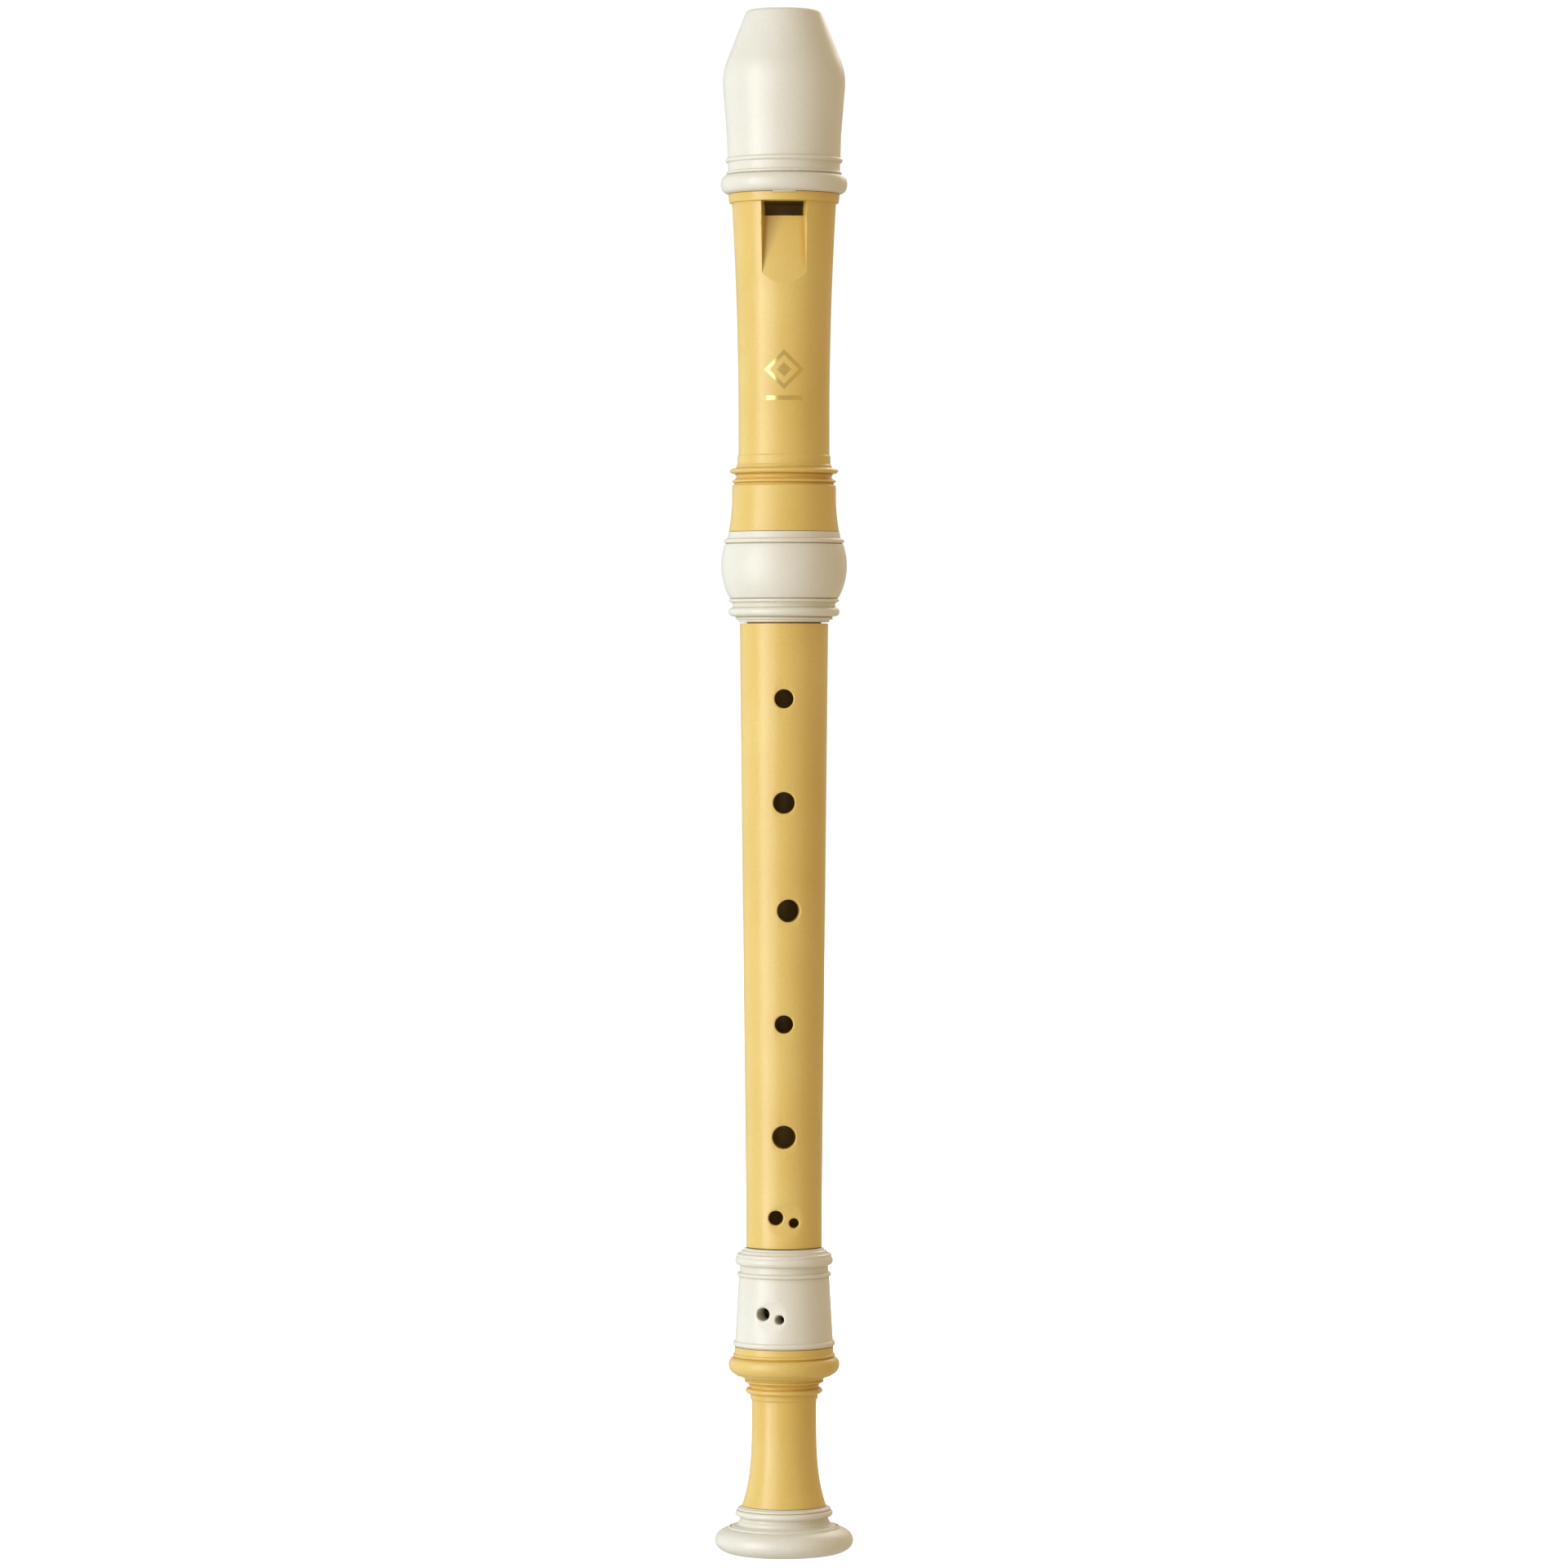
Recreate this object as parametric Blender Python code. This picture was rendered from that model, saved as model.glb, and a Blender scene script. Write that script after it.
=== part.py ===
"""Soprano recorder in C with baroque fingering, in two colours of plastic, standing on its bell.

It comes apart at two tenons into a head, a middle and a foot joint. The head is a tube with a
ring, a beak and a block that together make the windway; the foot is a socket, a tube and a
bell. Blender 4.5, metres, +Z up. The origin is the middle of the bell's flat end, and the
window and the finger holes face -Y.

Outlines are in millimetres, as (radius, height) above the lower end of the joint they belong
to. Every piece is turned about the Z axis, which is also the axis that the joints turn and
slide on.
"""

import math

import bmesh
import bpy

MM = 0.001

# Driving lengths: the three joints, from the bell's end up. Neighbouring pieces keep a seam.
FOOT_LENGTH = 65.45
MIDDLE_LENGTH = 133.35
HEAD_LENGTH = 130.6
SEAM = 0.3
GLUE_GAP = 0.2
MIDDLE_LEVEL = FOOT_LENGTH + SEAM
HEAD_LEVEL = MIDDLE_LEVEL + MIDDLE_LENGTH + SEAM

# Tenons of the middle joint, and the sockets that turn and slide on them.
RUNNING_GAP = 0.1
UPPER_TENON_RADIUS = 7.95
UPPER_TENON_LENGTH = 21.45
LOWER_TENON_RADIUS = 6.75
LOWER_TENON_LENGTH = 11.5
TENON_CHAMFER = 0.4

# The bore narrows from the head to the foot.
HEAD_BORE = 6.7
MIDDLE_BORE_TOP = 6.5
MIDDLE_BORE_END = 5.15
FOOT_BORE_TOP = 5.05
FOOT_BORE_END = 4.85
BELL_BORE = 5.2

# Spigots that the glued pieces meet on.
BEAK_SPIGOT_RADIUS = 8.6
BEAK_SPIGOT_TOP = 104.6
RING_SLEEVE_RADIUS = 9.6
RING_LIP = 1.9
FOOT_SPIGOT_RADIUS = 7.6
FOOT_SPIGOT_LENGTH = 4.8
BELL_SPIGOT_RADIUS = 7.4
BELL_SPIGOT_END = 4.0

# Heights on the head joint.
BEAK_BASE = 91.46
COLLAR_TOP = BEAK_BASE - GLUE_GAP
COLLAR_STEP = 89.5
WINDOW_TOP = 89.35
LABIUM_EDGE = 86.4
RAMP_END = 70.0
RING_TOP = 19.2

# The windway is an arched slot between the beak's roof and the block's floor. Each end has a
# half width, the radius of its arch, and how far the crowns of floor and roof lie off the axis.
WINDWAY_EXIT = {"height": WINDOW_TOP, "half": 4.2, "arch": 17.5, "floor": 6.45, "roof": 7.45}
WINDWAY_TIP = {"height": HEAD_LENGTH, "half": 4.8, "arch": 10.0, "floor": 5.4, "roof": 6.7}
BLOCK_RADIUS = 6.2
BLOCK_SEAT = BLOCK_RADIUS + GLUE_GAP

# The labium: an arched ramp that rises from its edge to the outside, between two splayed walls.
LABIUM_CROWN = 7.0
RAMP_SLOPE = 0.2255
WALL_DRAFT = 0.19
WALL_SPLAY = 0.033

# The lip cut hollows the back of the beak with one large arc about an axis along X.
LIP_CUT_RADIUS = 32.0
LIP_CUT_BACK = 33.57
LIP_CUT_HEIGHT = 129.12

# A key on the beak's rim drops into a notch in the collar, so the windway meets the window.
KEY_WIDTH = 4.8
KEY_DROP = 0.6
KEY_INNER = 9.6
KEY_OUTER = 11.2

# Tone holes: height above the lower end of their joint, turn from the front in degrees, shift
# to the right of that direction, radius. The two holes of a pair are drilled side by side.
MIDDLE_HOLES = (
    (117.3, 0, 0, 2.02),
    (95.15, 0, 0, 2.3),
    (72.15, 6.8, 0, 2.43),
    (47.95, 0, 0, 1.95),
    (23.89, 0, 0, 2.48),
    (6.63, 1.6, -1.92, 1.6),
    (5.53, 1.6, 1.92, 1.1),
    (125.75, 180, 0, 2.6),
)
FOOT_HOLES = ((51.95, -16.5, -1.82, 1.45), (50.86, -16.5, 1.82, 1.03))

# Scoops that let one finger close a pair of holes: height, turn, surface radius there, reach.
MIDDLE_SCOOP = (6.1, 2.0, 8.12, 3.7)
FOOT_SCOOP = (51.4, -16.5, 10.15, 3.4)

SIDES = 32
HOLE_SIDES = 16
CURVE_STEPS = 4

IVORY = (0.72, 0.67, 0.55, 1.0)
HONEY = (0.72, 0.47, 0.11, 1.0)
ROUGHNESS = 0.38


def share(step, steps):
    """How far along a curve a step is, from 0 to 1."""
    return step / steps


def bead(height, half, root, crest, steps=CURVE_STEPS):
    """Half an ellipse standing out from root to crest, from its top down."""
    angles = [math.pi * (0.5 - share(i, steps)) for i in range(steps + 1)]
    return [(root + (crest - root) * math.cos(a), height + half * math.sin(a)) for a in angles]


def quarter(centre, across, tall, start, steps=CURVE_STEPS):
    """A quarter of an ellipse, turning clockwise from an angle in degrees."""
    angles = [math.radians(start - 90 * share(i, steps)) for i in range(steps + 1)]
    r, h = centre
    return [(r + across * math.cos(a), h + tall * math.sin(a)) for a in angles]


def flare(narrow, wide, power, steps=CURVE_STEPS):
    """A curve from the (radius, height) of its narrow end, opening ever faster to its wide end."""
    points = []
    for i in range(steps + 1):
        t = share(i, steps)
        radius = narrow[0] + (wide[0] - narrow[0]) * t**power
        points.append((radius, narrow[1] + (wide[1] - narrow[1]) * t))
    return points


def globe(radius, offset, middle, top, end, steps=6):
    """A slice of a ball between two heights, its centre set off the axis by an offset."""
    heights = [top + (end - top) * share(i, steps) for i in range(steps + 1)]
    return [(offset + math.sqrt(radius**2 - (h - middle) ** 2), h) for h in heights]


def fillet(before, corner, after, radius, steps=3):
    """The corner between two straight stretches, rounded to a radius."""
    away = []
    for end in (before, after):
        length = math.dist(end, corner)
        away.append(((end[0] - corner[0]) / length, (end[1] - corner[1]) / length))
    (ax, ay), (bx, by) = away
    half = math.acos(max(-1, min(1, ax * bx + ay * by))) / 2
    middle = math.hypot(ax + bx, ay + by)
    reach = radius / math.sin(half)
    centre = (corner[0] + (ax + bx) / middle * reach, corner[1] + (ay + by) / middle * reach)
    tangent = radius / math.tan(half)
    first = (corner[0] + ax * tangent, corner[1] + ay * tangent)
    turn = math.pi - 2 * half
    start = math.atan2(first[1] - centre[1], first[0] - centre[0])
    sense = 1 if ax * by - ay * bx < 0 else -1
    angles = [start + sense * turn * share(i, steps) for i in range(steps + 1)]
    return [(centre[0] + radius * math.cos(a), centre[1] + radius * math.sin(a)) for a in angles]


def arch(half, radius, crown, steps=6):
    """Points across an arched slot, as (x, y), from -half to +half, with the crown at -Y."""
    xs = [half * (2 * share(i, steps) - 1) for i in range(steps + 1)]
    return [(x, -(crown - radius + math.sqrt(radius**2 - x**2))) for x in xs]


def blended(low, high, height):
    """A windway section at a height, part of the way between two others."""
    t = (height - low["height"]) / (high["height"] - low["height"])
    return {key: low[key] + (high[key] - low[key]) * t for key in low}


def plastic(name, colour):
    material = bpy.data.materials.new(name)
    material.diffuse_color = colour
    material.use_nodes = True
    shader = material.node_tree.nodes["Principled BSDF"]
    shader.inputs["Base Color"].default_value = colour
    shader.inputs["Roughness"].default_value = ROUGHNESS
    shader.inputs["Metallic"].default_value = 0.0
    return material


def placed(name, shape, joint, colour=None):
    """Makes an object from a bmesh, under its joint's empty. With no colour it is a cutter."""
    bmesh.ops.remove_doubles(shape, verts=shape.verts, dist=1e-7)
    bmesh.ops.recalc_face_normals(shape, faces=shape.faces)
    mesh = bpy.data.meshes.new(name)
    shape.to_mesh(mesh)
    shape.free()
    piece = bpy.data.objects.new(name, mesh)
    piece.parent = joint
    bpy.context.collection.objects.link(piece)
    if colour:
        mesh.materials.append(plastic(name, colour))
        mesh.shade_smooth()
        mesh.set_sharp_from_angle(angle=math.radians(30))
    else:
        piece.hide_render = True
        piece.display_type = "WIRE"
    return piece


def turned(name, outline, joint, colour):
    """A body of revolution about Z, from a closed outline of (radius, height)."""
    shape = bmesh.new()
    loop = [shape.verts.new((r * MM, 0, h * MM)) for r, h in outline]
    edges = [shape.edges.new(ends) for ends in zip(loop, loop[1:] + loop[:1])]
    bmesh.ops.spin(
        shape,
        geom=loop + edges,
        cent=(0, 0, 0),
        axis=(0, 0, 1),
        angle=math.tau,
        steps=SIDES,
        use_merge=True,
    )
    return placed(name, shape, joint, colour)


def lofted(name, rings, joint, colour=None):
    """A solid through closed rings of (x, y, z), each with the same number of points."""
    shape = bmesh.new()
    rows = [[shape.verts.new([c * MM for c in point]) for point in ring] for ring in rings]
    for low, high in zip(rows, rows[1:]):
        for i in range(len(low)):
            j = (i + 1) % len(low)
            shape.faces.new((low[i], low[j], high[j], high[i]))
    shape.faces.new(reversed(rows[0]))
    shape.faces.new(rows[-1])
    return placed(name, shape, joint, colour)


def drill(name, joint, radius, length, sides, at, turn=0, across=False):
    """A cylinder used as a cutter, along a turn about the axis, or level and across it if asked.

    It is centred at (outward, rightward, height) as seen from outside at that turn."""
    shape = bmesh.new()
    bmesh.ops.create_cone(
        shape,
        cap_ends=True,
        segments=sides,
        radius1=radius * MM,
        radius2=radius * MM,
        depth=length * MM,
    )
    cutter = placed(name, shape, joint)
    outward, rightward, height = at
    heading = math.radians(turn)
    x = outward * math.sin(heading) + rightward * math.cos(heading)
    y = rightward * math.sin(heading) - outward * math.cos(heading)
    cutter.location = (x * MM, y * MM, height * MM)
    if across:
        cutter.rotation_euler = (0, math.pi / 2, heading)
    else:
        cutter.rotation_euler = (math.pi / 2, 0, heading)
    return cutter


def cut(piece, cutter, operation="DIFFERENCE"):
    modifier = piece.modifiers.new(cutter.name, "BOOLEAN")
    modifier.operation = operation
    modifier.object = cutter


def beak_outline():
    """The mouthpiece, a cone that rounds over into a barrel, down to its rings."""
    tip = (8.0, HEAD_LENGTH)
    shoulder = (13.29, 117.1)
    waist = (12.2, 103.9)
    return [
        *fillet((BLOCK_SEAT, HEAD_LENGTH), tip, shoulder, 0.55),
        *fillet(tip, shoulder, waist, 8.8),
        waist,
        *bead(98.54, 0.48, 12.05, 12.52, steps=3),
        (11.98, 97.9),
        *bead(95.8, 0.36, 12.0, 12.33, steps=3),
        *bead(93.47, 1.92, 12.2, 13.53, steps=6),
        (12.05, BEAK_BASE),
        (BEAK_SPIGOT_RADIUS + GLUE_GAP, BEAK_BASE),
        (BEAK_SPIGOT_RADIUS + GLUE_GAP, BEAK_SPIGOT_TOP + GLUE_GAP),
        (BLOCK_SEAT, BEAK_SPIGOT_TOP + GLUE_GAP),
        (BLOCK_SEAT, HEAD_LENGTH),
    ]


def head_outline():
    """The head's tube: spigot, collar, long taper, two flanges and the sleeve inside its ring."""
    socket = UPPER_TENON_RADIUS + RUNNING_GAP
    socket_end = UPPER_TENON_LENGTH + SEAM + GLUE_GAP
    taper = flare((9.72, 43.9), (11.12, COLLAR_STEP - 0.05), 1.9, steps=6)
    skirt = flare((11.1, 26.8), (11.79, RING_TOP + GLUE_GAP), 2.0, steps=3)
    return [
        (BLOCK_SEAT, BEAK_SPIGOT_TOP),
        (BEAK_SPIGOT_RADIUS, BEAK_SPIGOT_TOP),
        (BEAK_SPIGOT_RADIUS, COLLAR_TOP),
        (11.93, COLLAR_TOP),
        (11.75, COLLAR_STEP),
        *reversed(taper),
        (9.73, 35.7),
        (9.92, 35.4),
        (9.95, 33.75),
        (10.2, 33.4),
        *bead(32.27, 0.64, 10.28, 11.6),
        (10.2, 31.4),
        (10.2, 30.7),
        *bead(30.1, 0.4, 10.5, 11.12, steps=3),
        (10.72, 29.5),
        (10.95, 29.2),
        (11.1, 28.7),
        *skirt,
        (RING_SLEEVE_RADIUS, RING_TOP + GLUE_GAP),
        (RING_SLEEVE_RADIUS, RING_LIP + SEAM),
        (socket, RING_LIP + SEAM),
        (socket, socket_end),
        (HEAD_BORE, socket_end),
        (HEAD_BORE, WINDOW_TOP + GLUE_GAP),
        (BLOCK_SEAT, WINDOW_TOP + GLUE_GAP),
    ]


def ring_outline():
    """The ball-shaped ring round the head's socket, with beads above and below the ball."""
    sleeve = RING_SLEEVE_RADIUS + GLUE_GAP
    return [
        (11.86, RING_TOP),
        (12.07, 18.3),
        *bead(17.3, 0.5, 12.3, 12.87, steps=3),
        *globe(14.0, -0.55, 12.05, top=16.6, end=5.1),
        *bead(4.65, 0.42, 11.2, 11.8, steps=3),
        (11.0, 4.0),
        (11.0, 3.35),
        *bead(2.22, 0.95, 10.9, 11.88),
        (10.6, 1.2),
        (10.3, 0.8),
        (9.62, 0.0),
        (UPPER_TENON_RADIUS + SEAM, 0.0),
        (UPPER_TENON_RADIUS + SEAM, RING_LIP),
        (sleeve, RING_LIP),
        (sleeve, RING_TOP),
    ]


def middle_outline():
    """The tapered tube that the fingers close, with a tenon at each end."""
    return [
        (MIDDLE_BORE_TOP, MIDDLE_LENGTH + UPPER_TENON_LENGTH),
        (UPPER_TENON_RADIUS - TENON_CHAMFER, MIDDLE_LENGTH + UPPER_TENON_LENGTH),
        (UPPER_TENON_RADIUS, MIDDLE_LENGTH + UPPER_TENON_LENGTH - TENON_CHAMFER),
        (UPPER_TENON_RADIUS, MIDDLE_LENGTH),
        (9.42, MIDDLE_LENGTH),
        (8.15, 9.0),
        (8.1, 0.0),
        (LOWER_TENON_RADIUS, 0.0),
        (LOWER_TENON_RADIUS, TENON_CHAMFER - LOWER_TENON_LENGTH),
        (LOWER_TENON_RADIUS - TENON_CHAMFER, -LOWER_TENON_LENGTH),
        (MIDDLE_BORE_END, -LOWER_TENON_LENGTH),
    ]


def foot_socket_outline():
    """The foot's socket: a rounded rim, a bead, and a slow flare that holds the last holes."""
    rim = (10.2, 64.35)
    under = (10.45, 62.2)
    neck = (9.4, 61.95)
    counterbore = FOOT_SPIGOT_RADIUS + GLUE_GAP
    spigot_top = FOOT_SPIGOT_LENGTH + 44.6
    socket = LOWER_TENON_RADIUS + RUNNING_GAP
    socket_end = MIDDLE_LEVEL - LOWER_TENON_LENGTH - GLUE_GAP
    return [
        (8.45, FOOT_LENGTH),
        (8.6, 65.15),
        (9.1, 64.95),
        (9.2, 64.75),
        *fillet((9.2, 64.75), rim, under, 0.5),
        *fillet(rim, under, neck, 0.3),
        neck,
        (9.48, 60.4),
        *bead(59.83, 0.5, 9.6, 10.1, steps=3),
        (9.67, 59.2),
        (9.9, 55.7),
        (10.46, 45.9),
        *bead(45.2, 0.6, 10.5, 10.95, steps=3),
        (counterbore, 44.6),
        (counterbore, spigot_top),
        (FOOT_BORE_TOP, spigot_top),
        (FOOT_BORE_TOP, socket_end),
        (socket, socket_end),
        (socket, FOOT_LENGTH),
    ]


def foot_outline():
    """The foot's tube: a fat ring over a thin bead, a waist, and a flare towards the bell."""
    shoulder = 44.4
    trumpet = flare((6.9, 31.9), (9.05, 10.55), 3.6, steps=6)
    return [
        (FOOT_BORE_TOP, shoulder + FOOT_SPIGOT_LENGTH),
        (FOOT_SPIGOT_RADIUS, shoulder + FOOT_SPIGOT_LENGTH),
        (FOOT_SPIGOT_RADIUS, shoulder),
        (10.57, shoulder),
        (10.57, 43.1),
        *bead(42.6, 0.35, 10.65, 10.95, steps=3),
        *quarter((10.9, 40.8), 0.98, 1.4, 90, steps=3),
        *quarter((9.9, 40.8), 1.98, 2.12, 0)[1:],
        (9.28, 38.07),
        (8.45, 37.55),
        (8.35, 37.1),
        (7.9, 36.75),
        (7.45, 36.2),
        *bead(35.24, 0.68, 7.42, 8.24, steps=3),
        (7.22, 34.3),
        (7.2, 33.5),
        (6.95, 33.15),
        *trumpet,
        (BELL_SPIGOT_RADIUS, 10.55),
        (BELL_SPIGOT_RADIUS, BELL_SPIGOT_END),
        (FOOT_BORE_END, BELL_SPIGOT_END),
    ]


def bell_outline():
    """The bell's ring: a bead, a cove, and a broad rounded rim that the recorder stands on."""
    counterbore = BELL_SPIGOT_RADIUS + GLUE_GAP
    return [
        (9.17, 10.35),
        (9.25, 10.05),
        *bead(8.98, 1.05, 9.35, 10.45),
        (9.5, 7.75),
        (9.75, 7.2),
        (10.3, 6.75),
        *quarter((11.3, 3.13), 3.53, 3.05, 90),
        *quarter((10.0, 3.13), 4.83, 3.13, 0)[1:],
        (BELL_BORE + 0.9, 0.0),
        (BELL_BORE + 0.25, 0.25),
        (BELL_BORE, 0.9),
        (BELL_BORE, BELL_SPIGOT_END - GLUE_GAP),
        (counterbore, BELL_SPIGOT_END - GLUE_GAP),
        (counterbore, 10.35),
    ]


def windway_cutter(joint):
    """The air channel, from just under the window's top to beyond the beak's tip."""
    rings = []
    for height in (WINDOW_TOP - 1, HEAD_LENGTH + 1):
        end = blended(WINDWAY_EXIT, WINDWAY_TIP, height)
        roof = arch(end["half"], end["arch"], end["roof"])
        floor = [(end["half"], -3.0), (-end["half"], -3.0)]
        rings.append([(x, y, height) for x, y in roof + floor])
    return lofted("windway_cutter", rings, joint)


def mouth_section(height, floor):
    """One level of the mouth cutter: splayed walls that stand on a floor of (x, y) points."""
    splay = WALL_SPLAY * max(0, LABIUM_EDGE - height)
    foot_x, foot_y = floor[-1]
    outside = foot_x + splay + WALL_DRAFT * (20 + foot_y)
    inner = [(x * (foot_x + splay) / foot_x, y, height) for x, y in floor]
    return [(-outside, -20, height), *inner, (outside, -20, height)]


def mouth_cutter(joint):
    """The window, and below it the ramp of the labium with its two walls, in one cutter."""
    half = WINDWAY_EXIT["half"]
    rings = []
    for height in (RAMP_END, LABIUM_EDGE):
        crown = LABIUM_CROWN + RAMP_SLOPE * (LABIUM_EDGE - height)
        rings.append(mouth_section(height, arch(half, WINDWAY_EXIT["arch"], crown)))
    for height in (LABIUM_EDGE, WINDOW_TOP):
        edge = arch(half, WINDWAY_EXIT["arch"], LABIUM_CROWN)
        section = mouth_section(height, edge)
        deep = [(x, -4.0, height) for x, y in edge[1:-1]]
        rings.append([*section[:2], *deep, *section[-2:]])
    return lofted("mouth_cutter", rings, joint)


def block(joint):
    """The block: a plug whose raised front is the windway's floor, hollowed by the lip cut."""
    rings = []
    for height in (WINDOW_TOP + GLUE_GAP * 2, HEAD_LENGTH):
        end = blended(WINDWAY_EXIT, WINDWAY_TIP, height)
        half = end["half"] - GLUE_GAP
        floor = arch(half, end["arch"], end["floor"])
        start = math.asin(half / BLOCK_RADIUS)
        turns = [start + (math.tau - 2 * start) * share(i, SIDES) for i in range(SIDES + 1)]
        plug = [(BLOCK_RADIUS * math.sin(a), -BLOCK_RADIUS * math.cos(a)) for a in turns]
        rings.append([(x, y, height) for x, y in floor + plug])
    return lofted("windway_block", rings, joint, IVORY)


def key_tab(name, joint, grow, colour=None):
    """The beak's key, or with some growth the notch that it drops into."""
    half = KEY_WIDTH / 2 + grow
    inner, outer = KEY_INNER - grow, KEY_OUTER + grow
    corners = ((-half, -inner), (half, -inner), (half, -outer), (-half, -outer))
    low = BEAK_BASE - KEY_DROP - grow
    rings = [[(x, y, height) for x, y in corners] for height in (low, BEAK_BASE + 1)]
    return lofted(name, rings, joint, colour)


def make_head(joint):
    beak = turned("beak_cap", beak_outline(), joint, IVORY)
    body = turned("head_body", head_outline(), joint, HONEY)
    turned("head_socket_ring", ring_outline(), joint, IVORY)
    plug = block(joint)
    windway = windway_cutter(joint)
    lip_centre = (-LIP_CUT_BACK, 0, LIP_CUT_HEIGHT)
    lip = drill("lip_cutter", joint, LIP_CUT_RADIUS, 60, 72, lip_centre, across=True)
    cut(beak, windway)
    cut(beak, lip)
    cut(beak, key_tab("beak_key", joint, 0), "UNION")
    cut(plug, lip)
    cut(body, windway)
    cut(body, mouth_cutter(joint))
    cut(body, key_tab("collar_notch", joint, GLUE_GAP))


def drill_holes(piece, joint, holes):
    """Tone holes, from the bore out through one wall."""
    for number, (height, turn, shift, radius) in enumerate(holes, 1):
        name = f"{piece.name}_hole_{number}"
        cut(piece, drill(name, joint, radius, 14, HOLE_SIDES, (9, shift, height), turn))


def scoop(piece, joint, height, turn, surface, reach):
    """A hollow across the wall that is as wide as it is tall, from a cutter laid crosswise."""
    depth = reach**2 / (2 * surface)
    at = (surface * 2 - depth, 0, height)
    cutter = drill(f"{piece.name}_scoop", joint, surface, 30, 40, at, turn, across=True)
    cut(piece, cutter)


def make_middle(joint):
    body = turned("middle_body", middle_outline(), joint, HONEY)
    scoop(body, joint, *MIDDLE_SCOOP)
    drill_holes(body, joint, MIDDLE_HOLES)


def make_foot(joint):
    socket = turned("foot_socket", foot_socket_outline(), joint, IVORY)
    turned("foot_body", foot_outline(), joint, HONEY)
    turned("foot_bell_ring", bell_outline(), joint, IVORY)
    scoop(socket, joint, *FOOT_SCOOP)
    drill_holes(socket, joint, FOOT_HOLES)


def joint_at(name, level):
    """The empty that holds one joint of the recorder, on the axis at the joint's lower end."""
    joint = bpy.data.objects.new(name, None)
    joint.location.z = level * MM
    bpy.context.collection.objects.link(joint)
    return joint


def main():
    for old in list(bpy.data.objects):
        bpy.data.objects.remove(old)
    make_foot(joint_at("foot_joint", 0))
    make_middle(joint_at("middle_joint", MIDDLE_LEVEL))
    make_head(joint_at("head_joint", HEAD_LEVEL))


main()
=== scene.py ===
"""Looks of the soprano recorder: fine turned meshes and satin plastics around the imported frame.

Outlines are in millimetres, as (radius, height) above the lower end of the joint that they
belong to. A turn is an angle about the axis in degrees, 0 at the front and 90 to the right.
Every solid of the frame is replaced here by a finer piece in the same place.
"""

import math

import bmesh
import bpy
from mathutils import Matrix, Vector


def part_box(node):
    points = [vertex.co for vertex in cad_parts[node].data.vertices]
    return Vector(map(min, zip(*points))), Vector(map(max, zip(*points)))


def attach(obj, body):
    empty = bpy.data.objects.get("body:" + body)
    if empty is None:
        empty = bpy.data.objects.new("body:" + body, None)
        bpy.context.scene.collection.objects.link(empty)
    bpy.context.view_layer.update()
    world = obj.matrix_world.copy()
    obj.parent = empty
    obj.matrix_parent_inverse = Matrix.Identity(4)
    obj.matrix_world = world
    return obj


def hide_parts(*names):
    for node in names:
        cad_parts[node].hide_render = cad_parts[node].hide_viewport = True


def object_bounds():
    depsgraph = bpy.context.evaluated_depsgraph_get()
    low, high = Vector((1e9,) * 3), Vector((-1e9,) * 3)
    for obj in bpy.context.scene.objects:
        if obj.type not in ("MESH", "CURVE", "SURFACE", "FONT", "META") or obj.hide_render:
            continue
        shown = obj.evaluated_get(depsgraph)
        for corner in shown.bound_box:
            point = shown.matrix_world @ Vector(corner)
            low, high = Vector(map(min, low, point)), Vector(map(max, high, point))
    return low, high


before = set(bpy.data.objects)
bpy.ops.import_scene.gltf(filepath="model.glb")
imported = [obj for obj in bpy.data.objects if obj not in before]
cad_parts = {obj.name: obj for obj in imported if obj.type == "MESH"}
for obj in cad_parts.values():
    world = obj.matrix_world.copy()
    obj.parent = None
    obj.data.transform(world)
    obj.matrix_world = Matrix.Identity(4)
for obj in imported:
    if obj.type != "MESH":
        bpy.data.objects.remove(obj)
cad_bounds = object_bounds()

MM = 0.001

# Sides of a turned piece, reach of a rounded corner, and the most that a smooth edge may turn.
SEGMENTS = 192
CORNER = 0.11
SOFT_ANGLE = 33

# Where each joint starts in the frame, and how far its solids reach from there.
FOOT_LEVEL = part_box("foot_bell_ring")[0].z / MM
FOOT_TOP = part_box("foot_socket")[1].z / MM
HEAD_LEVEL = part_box("head_socket_ring")[0].z / MM
HEAD_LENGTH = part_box("beak_cap")[1].z / MM - HEAD_LEVEL
JOINT_SEAM = 0.3
MIDDLE_LEVEL = FOOT_TOP + JOINT_SEAM
MIDDLE_LENGTH = HEAD_LEVEL - JOINT_SEAM - MIDDLE_LEVEL
MIDDLE_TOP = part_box("middle_body")[1].z / MM - MIDDLE_LEVEL
MIDDLE_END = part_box("middle_body")[0].z / MM - MIDDLE_LEVEL
FINE_SEAM = 0.07

# Radii of the tenons and bores, and the gap between a tenon and its socket.
UPPER_TENON = 7.95
LOWER_TENON = 6.75
SOCKET_GAP = 0.1
HEAD_BORE = 6.7
MIDDLE_BORE_TOP = 6.5
MIDDLE_BORE_END = 5.15
FOOT_BORE = 5.05
BELL_BORE = 5.2

# Heights on the head joint, and the radii of its ring's sleeve and of its spigot.
BEAK_BASE = 91.4
COLLAR_TOP = BEAK_BASE - FINE_SEAM
COLLAR_STEP = 89.5
WINDOW_TOP = 89.42
LABIUM_EDGE = 86.4
RAMP_END = 70.0
RING_TOP = 19.3
RING_LIP = 1.9
RING_SLEEVE = 9.6
SPIGOT_RADIUS = 8.6
SPIGOT_TOP = 104.6

# Heights on the foot joint where its mouldings meet.
CUP_SEAM = 44.42
BELL_SEAM = 10.25

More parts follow.
